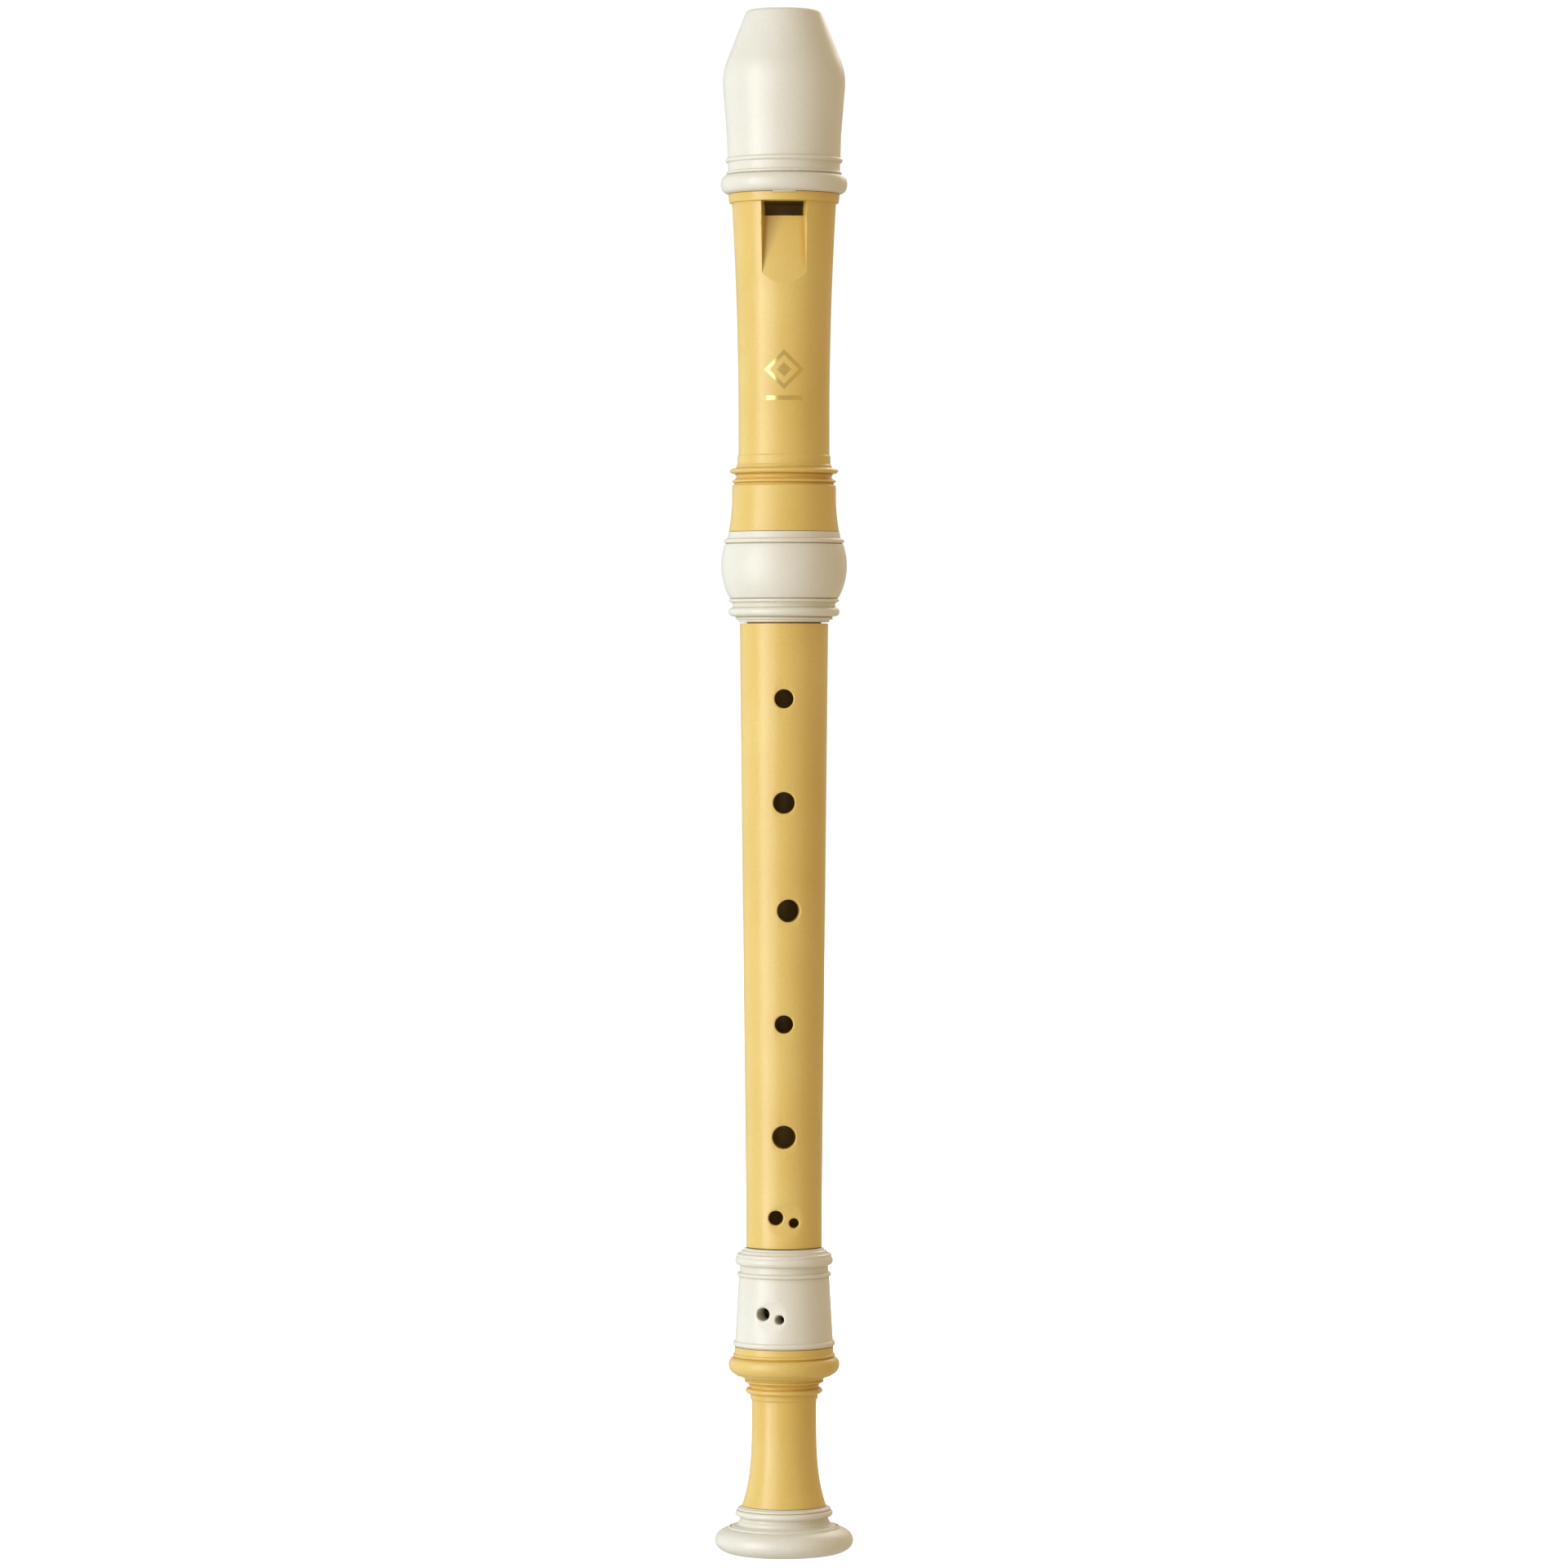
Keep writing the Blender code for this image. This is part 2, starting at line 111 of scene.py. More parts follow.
# The beak's key, and the notch in the collar that it drops into.
KEY_HALF = 2.4
KEY_DROP = 0.3
KEY_INNER = 9.7
KEY_OUTER = 11.93

# Windway, block and labium. Crowns are distances of an arch's top from the axis, and depths are
# how near to the axis a tool reaches.
WINDWAY_EXIT = {"height": WINDOW_TOP, "half": 4.2, "arch": 17.5, "floor": 6.45, "roof": 7.45}
WINDWAY_TIP = {"height": HEAD_LENGTH, "half": 4.8, "arch": 10.0, "floor": 5.4, "roof": 6.7}
BLOCK_RADIUS = 6.3
BLOCK_SEAT = 6.4
LABIUM_CROWN = 7.0
RAMP_SLOPE = 0.2255
WALL_DRAFT = 0.19
WALL_SPLAY = 0.033
MOUTH_DEPTH = 4.0
WINDWAY_DEPTH = 3.0

# How much the mouth's rim is eased. Low on the ramp, edges that turn even a little stay sharp.
MOUTH_EASE = 0.1
RAMP_CREASE_TOP = 80.0
RAMP_CREASE_TURN = 5

# The beak's tip rounds over, and a large arc hollows the back for the lower lip.
TIP_ROUND = 0.7
LIP_CUT_RADIUS = 32.0
LIP_CUT_BACK = 33.57
LIP_CUT_HEIGHT = 129.12
LIP_BLEND = 1.3

# Tone holes as (height, turn, shift to the right of that direction, radius), and scoops as
# (height, turn, reach, depth). The two holes of a pair are drilled side by side.
MIDDLE_HOLES = (
    (117.3, 0, 0, 2.02),
    (95.15, 0, 0, 2.3),
    (72.15, 6.8, 0, 2.43),
    (47.95, 0, 0, 1.95),
    (23.89, 0, 0, 2.48),
    (6.63, 1.6, -1.92, 1.58),
    (5.53, 1.6, 1.92, 1.06),
    (125.75, 180, 0, 2.6),
)
MIDDLE_SCOOP = (6.15, 2.2, 3.75, 0.5)
FOOT_HOLES = ((51.95, -16.5, -1.82, 1.4), (50.86, -16.5, 1.82, 0.98))
FOOT_SCOOP = (51.35, -16.5, 3.45, 0.5)

# Rounding of a hole's rim and the angles of its rings, and how far the hole's tool reaches: in
# to a distance from the axis, and out past the surface.
HOLE_ROUND = 0.3
HOLE_RIM_ANGLES = (90, 76, 62, 48, 35, 22)
HOLE_SIDES = 72
HOLE_INNER_END = 2.5
HOLE_OUTER_END = 3

# Foil mark on the head: a lozenge outline round a small lozenge, over a bar.
MARK_HEIGHT = 53.6
MARK_HALF = 4.2
MARK_STROKE = 0.75
MARK_HEART = 1.5
BAR_HEIGHT = 47.6
BAR_HALF = (3.8, 0.45)
FOIL_PROUD = 0.02

# Plastics: middle of the range of roughness, and how wide a groove still gets painted shade (a
# darker colour) in it.
SATIN = 0.30
GROOVE_SHADE_REACH = 1.6

# Light that the surroundings cast on the recorder, as linear colours.
CAST_LEFT = (0.54, 0.56, 0.58)
CAST_RIGHT = (0.64, 0.51, 0.34)

# Softboxes as (name, turn, distance, height, size, power, colour), in metres and watts.
SOFTBOXES = (
    ("key_left", -46, 1.1, 0.25, (0.9, 1.3), 8.6, (0.92, 0.945, 1.0)),
    ("strip_left", -58, 1.1, 0.25, (0.3, 1.3), 3.4, (0.95, 0.97, 1.0)),
    ("rim_left", -125, 1.2, 0.2, (0.9, 1.3), 1.6, (0.95, 0.97, 1.0)),
    ("fill_back", 160, 1.1, 0.95, (0.9, 0.9), 5.0, (1.0, 0.98, 0.95)),
)

# The floor lies this far below the bell, in millimetres, so that the foot can be drawn off.
FLOOR_DROP = 12.0

# Camera: distance from the axis, its height and the height it aims at, in metres; lens in mm.
CAMERA_DISTANCE = 1.422
CAMERA_HEIGHT = 0.188
CAMERA_AIM = 0.16479
CAMERA_LENS = 152.6


# ---------------------------------------------------------------- outlines


def arc(centre, radii, start, end, steps):
    """Part of an ellipse between two angles in degrees."""
    angles = [math.radians(start + (end - start) * i / steps) for i in range(steps + 1)]
    return [
        (centre[0] + radii[0] * math.cos(a), centre[1] + radii[1] * math.sin(a)) for a in angles
    ]


def bead(height, half, root, crest, steps=12):
    """Half an ellipse standing out from root to crest, from its top down."""
    return arc((root, height), (crest - root, half), 90, -90, steps)


def flare(narrow, wide, power, steps=24):
    """A curve from the (radius, height) of its narrow end, opening ever faster to its wide end."""
    points = []
    for i in range(steps + 1):
        t = i / steps
        radius = narrow[0] + (wide[0] - narrow[0]) * t**power
        points.append((radius, narrow[1] + (wide[1] - narrow[1]) * t))
    return points


def globe(radius, offset, middle, top, end, steps=40):
    """A slice of a ball between two heights, its centre set off the axis by an offset."""
    heights = [top + (end - top) * i / steps for i in range(steps + 1)]
    return [(offset + math.sqrt(radius**2 - (h - middle) ** 2), h) for h in heights]


def run(start, end, step=0.25):
    """A straight stretch with points every step, for a surface that is hollowed afterwards."""
    count = max(1, round(math.dist(start, end) / step))
    return [
        tuple(a + (b - a) * i / count for a, b in zip(start, end)) for i in range(count + 1)
    ]


def rounded(before, corner, after, reach, steps=6):
    """A corner replaced by a smooth curve that starts and ends a given reach away from it."""
    ends = []
    for other in (before, after):
        length = math.dist(other, corner)
        share = min(reach, 0.45 * length) / length
        ends.append([c + (o - c) * share for c, o in zip(corner, other)])
    points = []
    for i in range(steps + 1):
        t = i / steps
        weights = ((1 - t) ** 2, 2 * t * (1 - t), t**2)
        points.append(
            tuple(
                weights[0] * a + weights[1] * c + weights[2] * b
                for a, c, b in zip(ends[0], corner, ends[1])
            )
        )
    return points


def softened(outline, reach=CORNER, limit=28):
    """A closed outline with each corner that turns more than a limit rounded a little."""
    result = []
    for i, corner in enumerate(outline):
        before = outline[i - 1]
        after = outline[(i + 1) % len(outline)]
        if corner[0] == 0 or math.dist(before, corner) < 1e-6 or math.dist(corner, after) < 1e-6:
            result.append(corner)
            continue
        first = math.atan2(corner[1] - before[1], corner[0] - before[0])
        second = math.atan2(after[1] - corner[1], after[0] - corner[0])
        turn = abs((math.degrees(second - first) + 180) % 360 - 180)
        if turn > limit:
            result.extend(rounded(before, corner, after, reach, steps=4))
        else:
            result.append(corner)
    return result


def tip_inset(height):
    """How far the rounded edge of the beak's tip lies inside its flank at a height."""
    rise = max(0.0, height - (HEAD_LENGTH - TIP_ROUND))
    return TIP_ROUND - math.sqrt(max(0.0, TIP_ROUND**2 - rise**2))


def beak_flank():
    """The beak's outside above its rings, from the tip down, without the lip cut."""
    tip = (8.0, HEAD_LENGTH)
    shoulder = (13.29, 117.1)
    waist = (12.2, 103.9)
    slope = (shoulder[0] - tip[0]) / (tip[1] - shoulder[1])
    below_tip = (tip[0] + slope * TIP_ROUND, tip[1] - TIP_ROUND)
    curve = rounded(tip, shoulder, waist, 3.2, steps=16)
    flank = [*run(below_tip, curve[0]), *curve[1:-1], *run(curve[-1], waist)]
    edge = []
    for step in range(8):
        drop = TIP_ROUND * (1 - math.cos(math.radians(90 * step / 8)))
        height = HEAD_LENGTH - drop
        edge.append((tip[0] + slope * drop - tip_inset(height), height))
    return edge + flank


def beak_outline():
    return [
        (0.0, HEAD_LENGTH),
        *beak_flank(),
        *bead(98.54, 0.48, 12.07, 12.52),
        (11.98, 97.95),
        (11.98, 96.2),
        *bead(95.8, 0.36, 12.0, 12.35),
        *bead(93.47, 1.95, 12.2, 13.53, steps=32),
        (12.05, BEAK_BASE),
        (0.0, BEAK_BASE),
    ]


def seat_outline():
    """What is taken out of the beak: the block's seat, and below it the seat of the spigot."""
    step = SPIGOT_TOP + FINE_SEAM
    return [
        (0.0, HEAD_LENGTH + 2),
        (BLOCK_SEAT, HEAD_LENGTH + 2),
        (BLOCK_SEAT, step),
        (SPIGOT_RADIUS + FINE_SEAM, step),
        (SPIGOT_RADIUS + FINE_SEAM, BEAK_BASE - 2),
        (0.0, BEAK_BASE - 2),
    ]


def head_outline():
    socket = UPPER_TENON + SOCKET_GAP
    socket_end = MIDDLE_TOP - MIDDLE_LENGTH + JOINT_SEAM
    return [
        (BLOCK_SEAT, SPIGOT_TOP),
        (SPIGOT_RADIUS, SPIGOT_TOP),
        (SPIGOT_RADIUS, COLLAR_TOP),
        (11.92, COLLAR_TOP),
        (11.7, COLLAR_STEP),
        (11.16, COLLAR_STEP - 0.12),
        *reversed(flare((9.72, 43.9), (11.08, COLLAR_STEP - 0.7), 1.9, steps=40)),
        (9.72, 35.75),
        (9.92, 35.4),
        (9.94, 33.75),
        (10.2, 33.35),
        (10.2, 33.0),
        *bead(32.27, 0.62, 10.3, 11.6, steps=16),
        *arc((10.7, 31.05), (0.5, 0.5), 110, 240, 8),
        *bead(30.1, 0.36, 10.5, 11.12),
        (10.7, 29.55),
        (10.72, 29.35),
        *arc((10.72, 28.9), (0.38, 0.42), 90, 0, 6),
        *flare((11.1, 26.8), (11.8, RING_TOP + FINE_SEAM), 2.0, steps=16),
        (RING_SLEEVE, RING_TOP + FINE_SEAM),
        (RING_SLEEVE, RING_LIP + FINE_SEAM),
        (socket, RING_LIP + FINE_SEAM),
        (socket, socket_end),
        (HEAD_BORE, socket_end),
        (HEAD_BORE, WINDOW_TOP + FINE_SEAM),
        (BLOCK_SEAT, WINDOW_TOP + 0.5),
    ]


def ring_outline():
    sleeve = RING_SLEEVE + FINE_SEAM
    return [
        (11.86, RING_TOP),
        (12.05, 18.3),
        (12.15, 17.85),
        *bead(17.3, 0.5, 12.3, 12.87),
        *globe(14.0, -0.55, 12.05, top=16.65, end=5.15),
        *bead(4.65, 0.4, 11.25, 11.8),
        *arc((11.35, 3.75), (0.4, 0.45), 140, 220, 6),
        *bead(2.22, 0.95, 10.95, 11.88, steps=20),
        (10.62, 1.2),
        *bead(0.82, 0.26, 10.15, 10.42, steps=8),
        *arc((10.05, 0.3), (0.35, 0.26), 120, 200, 4),
        (9.64, 0.0),
        (UPPER_TENON + 0.2, 0.0),
        (UPPER_TENON + 0.2, RING_LIP),
        (sleeve, RING_LIP),
        (sleeve, RING_TOP),
    ]


def middle_outline():
    taper_end = (8.13, 11.5)
    return [
        (MIDDLE_BORE_TOP, MIDDLE_TOP),
        (UPPER_TENON - 0.35, MIDDLE_TOP),
        (UPPER_TENON, MIDDLE_TOP - 0.5),
        (UPPER_TENON, MIDDLE_LENGTH),
        (9.44, MIDDLE_LENGTH),
        *run((9.44, MIDDLE_LENGTH), taper_end, 3.0)[1:-1],
        *run(taper_end, (8.1, 1.0)),
        (8.1, 0.0),
        (LOWER_TENON, 0.0),
        (LOWER_TENON, MIDDLE_END + 0.5),
        (LOWER_TENON - 0.35, MIDDLE_END),
        (MIDDLE_BORE_END, MIDDLE_END),
    ]


def foot_cup_outline():
    """The foot's socket: a rounded rim, a bead, and a slow flare that holds the last holes."""
    socket = LOWER_TENON + SOCKET_GAP
    socket_end = MIDDLE_LEVEL + MIDDLE_END - 0.2
    return [
        (8.3, FOOT_TOP + 0.1),
        (8.5, FOOT_TOP),
        (8.62, 65.12),
        (9.15, 64.95),
        (9.25, 64.7),
        *arc((9.7, 64.05), (0.55, 0.32), 110, 30, 8),
        *arc((9.75, 62.85), (0.74, 0.95), 60, -75, 20),
        (9.42, 61.9),
        (9.5, 60.4),
        *bead(59.88, 0.47, 9.62, 10.12),
        (9.68, 59.3),
        (9.76, 58.2),
        *run((9.86, 56.3), (10.36, 47.6)),
        (10.46, 45.9),
        *bead(45.1, 0.55, 10.52, 10.98),
        (10.5, CUP_SEAM),
        (7.8, CUP_SEAM),
        (7.8, 49.4),
        (FOOT_BORE, 49.4),
        (FOOT_BORE, socket_end),
        (socket, socket_end),
        (socket, FOOT_TOP + 0.1),
    ]


def foot_tube_outline():
    """The foot's tube: a fat ring over a thin bead, a waist, and a flare towards the bell."""
    shoulder = CUP_SEAM - FINE_SEAM
    return [
        (FOOT_BORE, 49.3),
        (7.7, 49.3),
        (7.7, shoulder),
        (10.58, shoulder),
        (10.58, 43.0),
        *bead(42.55, 0.33, 10.66, 10.95),
        (10.75, 42.15),
        *arc((10.75, 40.6), (1.13, 1.45), 85, 0, 14),
        *arc((9.9, 40.6), (1.98, 2.26), 0, -70, 18)[1:],
        (10.3, 38.46),
        (10.28, 38.2),
        (9.5, 38.0),
        (8.75, 37.64),
        (8.36, 37.3),
        *arc((8.25, 36.94), (0.25, 0.28), 70, -30, 6),
        *arc((8.35, 35.8), (0.9, 0.85), 98, 185, 10),
        *bead(34.93, 0.64, 7.42, 8.24, steps=16),
        (7.28, 34.14),
        (7.2, 33.2),
        (6.96, 32.9),
        *flare((6.9, 31.9), (9.02, BELL_SEAM), 3.6, steps=40),
        (7.5, BELL_SEAM),
        (7.5, 4.1),
        (4.85, 4.1),
    ]


def bell_outline():
    """The bell's ring: a bead, a cove, and a broad rounded rim that the recorder stands on."""
    return [
        (9.12, BELL_SEAM - FINE_SEAM),
        (9.16, 9.96),
        *arc((9.45, 9.62), (0.53, 0.34), 90, 0, 8),
        (9.98, 9.44),
        (9.78, 9.35),
        *bead(8.66, 0.68, 9.8, 10.45, steps=16),
        *arc((9.75, 7.45), (0.3, 0.4), 130, 230, 6),
        (9.85, 6.75),
        *arc((10.35, 6.5), (0.5, 0.42), 190, 275, 6),
        (11.1, 5.98),
        (11.42, 5.56),
        *arc((11.7, 5.56), (0.26, 0.3), 170, 10, 8),
        (12.02, 5.44),
        *arc((11.25, 2.75), (3.58, 2.8), 74, 0, 24),
        *arc((10.4, 2.75), (4.43, 2.75), 0, -90, 28)[1:],
        (6.3, 0.0),
        *arc((6.1, 0.9), (0.9, 0.9), -90, -180, 8),
        (BELL_BORE, 4.0),
        (7.58, 4.0),
        (7.58, BELL_SEAM - FINE_SEAM),
    ]


# ---------------------------------------------------------------- meshes


def heading(turn):
    """Unit vectors outward and to the side at a turn about the axis."""
    angle = math.radians(turn)
    outward = Vector((math.sin(angle), -math.cos(angle), 0))
    side = Vector((math.cos(angle), math.sin(angle), 0))
    return outward, side


def piece_from(name, points, faces):
    """An object from points in millimetres and faces, welded and turned face out."""
    mesh = bpy.data.meshes.new(name)
    mesh.from_pydata([[c * MM for c in p] for p in points], [], faces)
    shape = bmesh.new()
    shape.from_mesh(mesh)
    bmesh.ops.remove_doubles(shape, verts=shape.verts, dist=1e-8)
    bmesh.ops.dissolve_degenerate(shape, edges=shape.edges, dist=1e-9)
    bmesh.ops.recalc_face_normals(shape, faces=shape.faces)
    shape.to_mesh(mesh)
    shape.free()
    piece = bpy.data.objects.new(name, mesh)
    bpy.context.collection.objects.link(piece)
    return piece


def turned(name, outline, level, reshape=None, segments=SEGMENTS):
    """A body of revolution. reshape(radius, height, turn) may move a point of it radially."""
    points = []
    for radius, height in outline:
        for i in range(segments):
            turn = 360 * i / segments
            reach = reshape(radius, height, turn) if reshape else radius
            outward = heading(turn)[0]
            points.append((outward.x * reach, outward.y * reach, height + level))
    faces = []
    rows = len(outline)
    for row in range(rows):
        other = (row + 1) % rows
        if outline[row][0] == 0 and outline[other][0] == 0:
            continue
        for i in range(segments):
            j = (i + 1) % segments
            faces.append(
                (
                    row * segments + i,
                    row * segments + j,
                    other * segments + j,
                    other * segments + i,
                )
            )
    return piece_from(name, points, faces)


def lofted(name, rings, level):
    """A solid through closed rings of (x, y, height), each with the same number of points."""
    count = len(rings[0])
    points = [(x, y, height + level) for ring in rings for x, y, height in ring]
    faces = []
    for row in range(len(rings) - 1):
        for i in range(count):
            j = (i + 1) % count
            low, high = row * count, (row + 1) * count
            faces.append((low + i, low + j, high + j, high + i))
    faces.append(tuple(range(count)))
    faces.append(tuple(range(len(points) - count, len(points))))
    return piece_from(name, points, faces)


def joined(name, parts):
    """One object from several that don't touch."""
    shape = bmesh.new()
    for part in parts:
        shape.from_mesh(part.data)
        bpy.data.objects.remove(part)
    mesh = bpy.data.meshes.new(name)
    shape.to_mesh(mesh)
    shape.free()
    whole = bpy.data.objects.new(name, mesh)
    bpy.context.collection.objects.link(whole)
    return whole


def carve(piece, steps):
    """Applies a list of (operation, tool object) to a piece."""
    for operation, tool in steps:
        modifier = piece.modifiers.new(tool.name, "BOOLEAN")
        modifier.operation = operation
        modifier.solver = "EXACT"
        modifier.object = tool
    depsgraph = bpy.context.evaluated_depsgraph_get()
    mesh = bpy.data.meshes.new_from_object(piece.evaluated_get(depsgraph))
    piece.modifiers.clear()
    piece.data = mesh


def eased(piece, width, chosen):
    """Rounds a little the sharp edges of a piece whose two ends are both chosen."""
    shape = bmesh.new()
    shape.from_mesh(piece.data)
    edges = [
        edge
        for edge in shape.edges
        if len(edge.link_faces) == 2
        and edge.calc_face_angle() > math.radians(SOFT_ANGLE)
        and all(chosen(vert.co / MM) for vert in edge.verts)
    ]
    bmesh.ops.bevel(
        shape, geom=edges, offset=width * MM, segments=3, profile=0.5, affect="EDGES"
    )
    shape.to_mesh(piece.data)
    shape.free()


def smooth(piece):
    """Shades a piece smooth, but for the edges that turn more than the soft angle."""
    piece.data.shade_smooth()
    piece.data.set_sharp_from_angle(angle=math.radians(SOFT_ANGLE))


def creased(piece, limit, chosen):
    """Marks as sharp the edges that turn more than a limit and have both ends chosen."""
    shape = bmesh.new()
    shape.from_mesh(piece.data)
    for edge in shape.edges:
        turn = edge.calc_face_angle(0)
        if turn > math.radians(limit) and all(chosen(vert.co / MM) for vert in edge.verts):
            edge.smooth = False
    shape.to_mesh(piece.data)
    shape.free()


def arch(half, radius, crown, steps=24):
    """Points across an arched slot, as (x, y), from -half to +half, with the crown at the front."""
    xs = [half * (2 * i / steps - 1) for i in range(steps + 1)]
    return [(x, -(crown - radius + math.sqrt(radius**2 - x**2))) for x in xs]


def blended(low, high, height):
    """A windway section at a height, part of the way between two others."""
    t = (height - low["height"]) / (high["height"] - low["height"])
    return {key: low[key] + (high[key] - low[key]) * t for key in low}


def windway_tool():
    rings = []
    for height in (WINDOW_TOP - 1, HEAD_LENGTH + 1):
        end = blended(WINDWAY_EXIT, WINDWAY_TIP, height)
        roof = arch(end["half"], end["arch"], end["roof"])
        floor = [(end["half"], -WINDWAY_DEPTH), (-end["half"], -WINDWAY_DEPTH)]
        rings.append([(x, y, height) for x, y in roof + floor])
    return lofted("windway_tool", rings, HEAD_LEVEL)


def mouth_section(height, floor):
    """One level of the mouth: splayed walls that stand on a floor of (x, y) points."""
    splay = WALL_SPLAY * max(0, LABIUM_EDGE - height)
    foot_x, foot_y = floor[-1]
    outside = foot_x + splay + WALL_DRAFT * (20 + foot_y)
    inner = [(x * (foot_x + splay) / foot_x, y, height) for x, y in floor]
    return [(-outside, -20, height), *inner, (outside, -20, height)]


def mouth_tool():
    """The window, and below it the ramp of the labium with its two walls."""
    half = WINDWAY_EXIT["half"]
    rings = []
    for height in (RAMP_END, LABIUM_EDGE):
        crown = LABIUM_CROWN + RAMP_SLOPE * (LABIUM_EDGE - height)
        rings.append(mouth_section(height, arch(half, WINDWAY_EXIT["arch"], crown)))
    for height in (LABIUM_EDGE, WINDOW_TOP):
        edge = arch(half, WINDWAY_EXIT["arch"], LABIUM_CROWN)
        section = mouth_section(height, edge)
        deep = [(x, -MOUTH_DEPTH, height) for x, _ in edge[1:-1]]
        rings.append([*section[:2], *deep, *section[-2:]])
    return lofted("mouth_tool", rings, HEAD_LEVEL)


def plug_tool():
    """The block before its end is shaped: a plug whose raised front is the windway's floor."""
    rings = []
    for height in (WINDOW_TOP + 0.15, HEAD_LENGTH + 1):
        end = blended(WINDWAY_EXIT, WINDWAY_TIP, height)
        half = end["half"] - 0.08
        floor = arch(half, end["arch"], end["floor"])
        start = math.asin(half / BLOCK_RADIUS)
        turns = [start + (math.tau - 2 * start) * i / 128 for i in range(129)]
        plug = [(BLOCK_RADIUS * math.sin(a), -BLOCK_RADIUS * math.cos(a)) for a in turns]
        rings.append([(x, y, height) for x, y in floor + plug])
    return lofted("plug_tool", rings, HEAD_LEVEL)


def notch_tool(name, grow):
    """A block at the front of the collar's top, as wide and as deep as the key plus a growth."""
    half = KEY_HALF + grow
    near = KEY_INNER - grow
    corners = ((-half, -near), (half, -near), (half, -13.0), (-half, -13.0))
    low = BEAK_BASE - KEY_DROP - grow
    rings = [[(x, y, height) for x, y in corners] for height in (low, BEAK_BASE + 0.5)]
    return lofted(name, rings, HEAD_LEVEL)


def key_tool():
    """The beak's key: a short piece of a ring that hangs from the beak's lower rim."""
    low, high = BEAK_BASE - KEY_DROP, BEAK_BASE + 0.2
    section = [(KEY_INNER, low), (KEY_OUTER, low), (KEY_OUTER, high), (KEY_INNER, high)]
    key = turned("key_tool", section, HEAD_LEVEL)
    block = notch_tool("key_block", 0)
    carve(key, [("INTERSECT", block)])
    bpy.data.objects.remove(block)
    return key


def mark_tool(name, corners):
    """A bar through the front of the head whose section is a polygon of (across, height)."""
    return lofted(name, [[(x, y, height) for x, height in corners] for y in (-12, -8)], HEAD_LEVEL)


def lozenge(half):
    return (
        (half, MARK_HEIGHT),
        (0, MARK_HEIGHT + half),
        (-half, MARK_HEIGHT),
        (0, MARK_HEIGHT - half),
    )


def lip_cut(radius, height, turn):
    """The beak's radius after the lip cut, blended so that the edge between them is round."""
    back = -math.cos(math.radians(turn))
    if radius == 0 or back < 0.02 or height < HEAD_LENGTH - LIP_CUT_RADIUS:
        return radius
    hollow = LIP_CUT_BACK - math.sqrt(LIP_CUT_RADIUS**2 - (height - LIP_CUT_HEIGHT) ** 2)
    reach = hollow / back
    inset = tip_inset(height)
    whole = radius + inset
    overlap = max(LIP_BLEND - abs(whole - reach), 0) / LIP_BLEND
    return min(whole, reach) - overlap**2 * LIP_BLEND / 4 - inset


def scoop(spot, surface):
    """A reshape that presses a shallow round hollow into an outer surface of about that radius."""
    height, turn, reach, depth = spot

    def reshape(radius, at_height, at_turn):
        if radius < surface - 1:
            return radius
        across = math.radians((at_turn - turn + 180) % 360 - 180) * surface
        distance = math.hypot(across, at_height - height) / reach
        if distance >= 1.25:
            return radius
        bowl = depth * (1 - distance**2)
        blend = 0.18 * depth
        return radius - (bowl + math.sqrt(bowl**2 + blend**2)) / 2

    return reshape


def line_radius(outline, height):
    """Outer radius of a turned outline at a height."""
    radii = []
    for (r1, h1), (r2, h2) in zip(outline, outline[1:]):
        if min(h1, h2) <= height <= max(h1, h2) and h1 != h2:
            radii.append(r1 + (r2 - r1) * (height - h1) / (h2 - h1))
    return max(radii)


def hole_tool(name, hole, outline, level, reshape):
    """A hole whose rim follows the surface and rounds over into it."""
    height, turn, shift, radius = hole
    outward, side = heading(turn)

    def ring(spread, reach):
        """One ring of the tool. reach(wall) is a point's distance out, given the wall's."""
        points = []
        for i in range(HOLE_SIDES):
            angle = math.tau * i / HOLE_SIDES
            across = shift + spread * math.cos(angle)
            up = height + spread * math.sin(angle)
            wall = line_radius(outline, up)
            wall = reshape(wall, up, turn + math.degrees(math.asin(across / wall)))
            out = reach(math.sqrt(wall**2 - across**2))
            place = outward * out + side * across
            points.append((place.x, place.y, up))
        return points

    rings = [ring(radius, lambda wall: HOLE_INNER_END)]
    for angle in HOLE_RIM_ANGLES:
        a = math.radians(angle)
        spread = radius + HOLE_ROUND * (1 - math.sin(a))
        depth = HOLE_ROUND * (1 - math.cos(a))
        rings.append(ring(spread, lambda wall: wall - depth))
    spread += HOLE_ROUND
    depth -= HOLE_ROUND * math.tan(math.radians(HOLE_RIM_ANGLES[-1]))
    rings.append(ring(spread, lambda wall: wall - depth))
    rings.append(ring(spread, lambda wall: wall + HOLE_OUTER_END))
    return lofted(name, rings, level)


def drilled(piece, holes, outline, level, reshape):
    """Takes every hole of a list out of a turned piece."""
    tools = [
        hole_tool(f"hole_tool_{i}", hole, outline, level, reshape)
        for i, hole in enumerate(holes)
    ]
    tool = joined("hole_tools", tools)
    carve(piece, [("DIFFERENCE", tool)])
    bpy.data.objects.remove(tool)


# ---------------------------------------------------------------- pieces


def make_beak_and_block():
    outline = softened(beak_outline())
    beak = turned("beak", outline, HEAD_LEVEL, lip_cut, segments=256)
    block = turned("block", outline, HEAD_LEVEL, lip_cut, segments=256)
    seat = turned("seat_tool", seat_outline(), HEAD_LEVEL)
    windway = windway_tool()
    plug = plug_tool()
    key = key_tool()
    carve(beak, [("DIFFERENCE", seat), ("DIFFERENCE", windway), ("UNION", key)])
    carve(block, [("INTERSECT", plug)])
    for tool in (seat, windway, plug, key):
        bpy.data.objects.remove(tool)
    return beak, block


